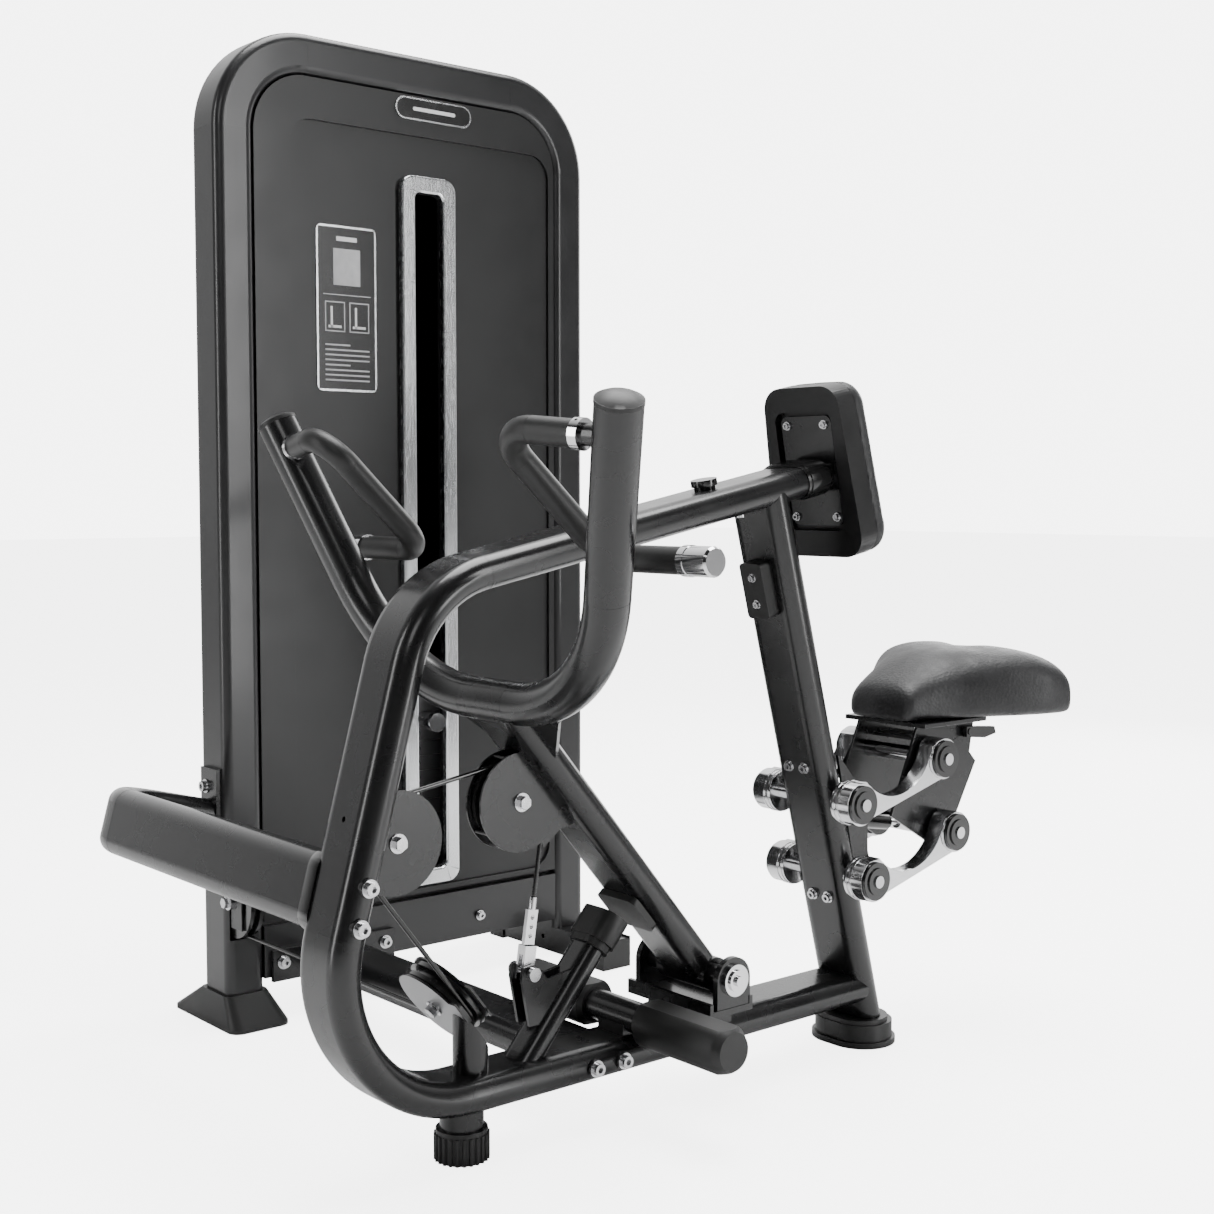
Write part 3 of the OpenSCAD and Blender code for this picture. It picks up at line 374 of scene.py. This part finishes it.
def smooth_table(table, t):
    """Monotone cubic curve through a short list of (t, value)."""
    slopes = [(b[1] - a[1]) / (b[0] - a[0]) for a, b in zip(table, table[1:])]
    tangents = [slopes[0]]
    for before, after in zip(slopes, slopes[1:]):
        same_way = before * after > 0
        tangents.append(2 * before * after / (before + after) if same_way else 0.0)
    tangents.append(slopes[-1])
    for k, ((t0, v0), (t1, v1)) in enumerate(zip(table, table[1:])):
        if t <= t1:
            w = t1 - t0
            f = (t - t0) / w
            return ((2 * f ** 3 - 3 * f ** 2 + 1) * v0 + (f ** 3 - 2 * f ** 2 + f) * w * tangents[k]
                    + (3 * f ** 2 - 2 * f ** 3) * v1 + (f ** 3 - f ** 2) * w * tangents[k + 1])
    return table[-1][1]


SEAT_FRONT, SEAT_BACK, SEAT_BOTTOM = 0.782, 1.066, 0.487
SEAT_WIDTH = [(0, 0.048), (0.03, 0.061), (0.12, 0.069), (0.30, 0.090), (0.45, 0.118), (0.60, 0.145),
              (0.78, 0.167), (0.90, 0.171), (0.97, 0.158), (1.0, 0.125)]
SEAT_HEIGHT = [(0, 0.030), (0.04, 0.050), (0.12, 0.067), (0.35, 0.099), (0.50, 0.105), (0.70, 0.106),
               (0.85, 0.099), (0.95, 0.078), (1.0, 0.046)]


def seat_ring(t, count=72):
    y = SEAT_FRONT + t * (SEAT_BACK - SEAT_FRONT)
    half = smooth_table(SEAT_WIDTH, t)
    tall = smooth_table(SEAT_HEIGHT, t)
    ring = []
    for i in range(count):
        a = 2 * math.pi * i / count
        c, s = math.cos(a), math.sin(a)
        x = half * math.copysign(abs(c) ** 0.5, c)
        z = 0.42 * tall * (1 + math.copysign(abs(s) ** 0.22, s)) if s < 0 else tall * (0.42 + 0.58 * s ** 0.8)
        across = abs(x) / half
        top = max(0.0, s)
        scallop = 0.020 * math.exp(-((t - 0.30) / 0.16) ** 2) * across ** 1.6
        crease = 0.009 * math.exp(-(x / 0.014) ** 2) * smooth_step((t - 0.50) / 0.25)
        ring.append((x, y, SEAT_BOTTOM + z - top * (scallop + crease)))
    return ring


def smooth_step(f):
    f = max(0.0, min(1.0, f))
    return f * f * (3 - 2 * f)


steps = 56
seat_rings = [seat_ring((1 - math.cos(math.pi * k / steps)) / 2) for k in range(steps + 1)]
seat = add_object("seat_cushion", mesh_from_rings("seat_cushion", seat_rings), cover)
remesh(seat, 0.0055)
pad_out(seat, 4.0, lambda p: p.z < SEAT_BOTTOM + 0.012)
subdivide(seat)
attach(seat, "seat_carriage")
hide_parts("seat")


# ---------------------------------------------------------------- chest pad

cushion = nodes["pad_cushion"]
pad = bpy.data.objects.new("chest_pad_cushion", cushion.data.copy())
bpy.context.scene.collection.objects.link(pad)
dress(pad, cover)
TILT = math.radians(11.38)
OUT = Vector((0, math.cos(TILT), math.sin(TILT)))
pad_base = min(v.co.dot(OUT) for v in pad.data.vertices)
remesh(pad, 0.0045)
pad_out(pad, 4.0, lambda p: p.dot(OUT) < pad_base + 0.008, reach=0.005)
subdivide(pad)
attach(pad, "chest_pad")
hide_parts("pad_cushion")


# ---------------------------------------------------------------- cables

PITCH = 0.051
CABLE_R = 0.003


def direction(angle):
    return Vector((0, math.cos(math.radians(angle)), math.sin(math.radians(angle))))


run_a = direction(81)
anchor = Vector((0, 0.100, 0.219))
a_start, a_end = anchor + run_a * 0.0955, anchor + run_a * 0.2187
cable_a = add_object("cable_anchor_run", straight_cable("cable_anchor_run", a_start, a_end, CABLE_R),
                     gloss)
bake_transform(cable_a)
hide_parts("cable_a_low", "cable_a_high")

run_b = direction(8.6)
b_start = Vector((0, -0.102, 0.415)) + PITCH * Vector((0, -run_b.z, run_b.y))
b_end = b_start + run_b * 0.1881
cable_b = add_object("cable_lever_run", straight_cable("cable_lever_run", b_start, b_end, CABLE_R),
                     gloss)
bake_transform(cable_b)
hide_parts("cable_b_near", "cable_b_far")

low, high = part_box("stack_cable")
mid = ((low[0] + high[0]) / 2, (low[1] + high[1]) / 2)
drop = add_object("cable_stack_drop",
                  straight_cable("cable_stack_drop", (mid[0], mid[1], low[2]), (mid[0], mid[1], high[2]), CABLE_R),
                  gloss, "stack")
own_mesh(drop)
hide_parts("stack_cable")


# ---------------------------------------------------------------- labels

FACE_X = -0.6558


def label(name, y0, y1, z0, z1, mat, depth=0.0006, x=FACE_X, roll=0.0002):
    return add_object(name, box_mesh(name, (x, y0, z0), (x + depth, y1, z1), roll), mat, "frame")


label("placard_face", 0.195, 0.299, 1.001, 1.257, print_black)
label("placard_head_bar", 0.228, 0.266, 1.236, 1.243, print_white, 0.0010)
label("placard_rule", 0.203, 0.291, 1.150, 1.1515, print_grey, 0.0010)
for k in range(8):
    wide = 0.082 if k % 4 else 0.046
    label("placard_line_%d" % k, 0.206, 0.206 + wide, 1.070 - 0.008 * k, 1.0725 - 0.008 * k, print_grey, 0.0010)
for side, y in (("a", 0.206), ("b", 0.251)):
    label("placard_frame_" + side, y, y + 0.037, 1.092, 1.140, print_grey, 0.0009)
    label("placard_inner_" + side, y + 0.002, y + 0.035, 1.094, 1.138, print_black, 0.0011)
    label("placard_bar_" + side, y + 0.010, y + 0.014, 1.098, 1.132, print_white, 0.0013)
    label("placard_foot_" + side, y + 0.006, y + 0.030, 1.098, 1.102, print_white, 0.0013)
label("placard_round_base", 0.222, 0.272, 1.166, 1.224, print_grey, 0.0009, roll=0.0004)


def pill(name, centre_y, centre_z, half_y, half_z, x0, x1, mat):
    rings = []
    for x in (x0, x1):
        ring = []
        for i in range(64):
            a = 2 * math.pi * i / 64
            ring.append((x, centre_y + math.copysign(half_y - half_z, math.cos(a)) + half_z * math.cos(a),
                         centre_z + half_z * math.sin(a)))
        rings.append(ring)
    mesh = mesh_from_rings(name, rings)
    for face in mesh.polygons:
        face.use_smooth = False
    return add_object(name, mesh, mat, "frame")


pill("badge_face", 0.414, 1.463, 0.0725, 0.0155, -0.6499, -0.6493, print_black)
pill("badge_bar", 0.414, 1.463, 0.0420, 0.0030, -0.6493, -0.6488, print_white)


# ---------------------------------------------------------------- studio

def area(name, place, target, size, power, size_y=None):
    light = bpy.data.lights.new(name, "AREA")
    light.energy = power
    light.size = size
    if size_y:
        light.shape = "RECTANGLE"
        light.size_y = size_y
    obj = bpy.data.objects.new(name, light)
    bpy.context.scene.collection.objects.link(obj)
    obj.location = place
    obj.rotation_euler = (Vector(target) - Vector(place)).to_track_quat("-Z", "Y").to_euler()
    return obj


area("key_top", (-0.3, 0.9, 4.2), (0, 0.3, 0.5), 2.6, 230)
area("left_strip", (-1.1, -3.6, 1.7), (-0.2, 0.1, 0.8), 0.7, 60, 3.4)
area("right_strip", (3.4, 1.9, 1.5), (0, 0.5, 0.7), 0.7, 75, 3.2)
area("camera_fill", (2.6, -2.4, 2.9), (0, 0.3, 0.7), 1.2, 16, 1.2)
area("back_rim", (-1.2, 3.9, 2.0), (0, 0.4, 0.8), 2.2, 70, 2.4)

floor_mesh = bpy.data.meshes.new("floor")
floor_mesh.from_pydata([(-30, -30, 0), (30, -30, 0), (30, 30, 0), (-30, 30, 0)], [], [(0, 1, 2, 3)])
floor = bpy.data.objects.new("floor", floor_mesh)
bpy.context.scene.collection.objects.link(floor)
floor.location.z = -0.0008
floor_mat, floor_tree, floor_shader = new_material("studio_floor")
floor_tree.links.new(tint(floor_tree, noise(floor_tree, 3, 3), (0.90, 0.90, 0.90), (0.93, 0.93, 0.93)),
                     floor_shader.inputs["Base Color"])
floor_shader.inputs["Roughness"].default_value = 0.9
floor_shader.inputs["Emission Color"].default_value = (1, 1, 1, 1)
camera_only = floor_tree.nodes.new("ShaderNodeLightPath")
floor_glow = floor_tree.nodes.new("ShaderNodeMath")
floor_glow.operation = "MULTIPLY"
floor_glow.inputs[1].default_value = 4.6
floor_tree.links.new(camera_only.outputs["Is Camera Ray"], floor_glow.inputs[0])
floor_tree.links.new(floor_glow.outputs[0], floor_shader.inputs["Emission Strength"])
dress(floor, floor_mat)

world = bpy.data.worlds.new("studio")
world.use_nodes = True
bpy.context.scene.world = world
links, wnodes = world.node_tree.links, world.node_tree.nodes
back = wnodes["Background"]
back.inputs["Color"].default_value = (1, 1, 1, 1)
aim = wnodes.new("ShaderNodeVectorMath")
aim.operation = "DOT_PRODUCT"
aim.inputs[1].default_value = (-0.75, 0.63, 0.18)
sky = wnodes.new("ShaderNodeTexCoord")
links.new(sky.outputs["Generated"], aim.inputs[0])
links.new(spread(world.node_tree, aim.outputs["Value"], 0.03, 1.7, 0.05, 0.85), back.inputs["Strength"])
seen = wnodes.new("ShaderNodeBackground")
seen.inputs["Color"].default_value = (1, 1, 1, 1)
seen.inputs["Strength"].default_value = 6.0
ray = wnodes.new("ShaderNodeLightPath")
pick = wnodes.new("ShaderNodeMixShader")
links.new(ray.outputs["Is Camera Ray"], pick.inputs[0])
links.new(back.outputs[0], pick.inputs[1])
links.new(seen.outputs[0], pick.inputs[2])
links.new(pick.outputs[0], wnodes["World Output"].inputs["Surface"])

camera_data = bpy.data.cameras.new("camera")
camera_data.lens = 50
camera_data.sensor_width = 36
camera = bpy.data.objects.new("camera", camera_data)
bpy.context.scene.collection.objects.link(camera)
camera.location = (1.700, -1.198, 0.830)
camera.rotation_euler = (math.radians(90 - 3.77), 0, math.radians(49.79))
bpy.context.scene.camera = camera
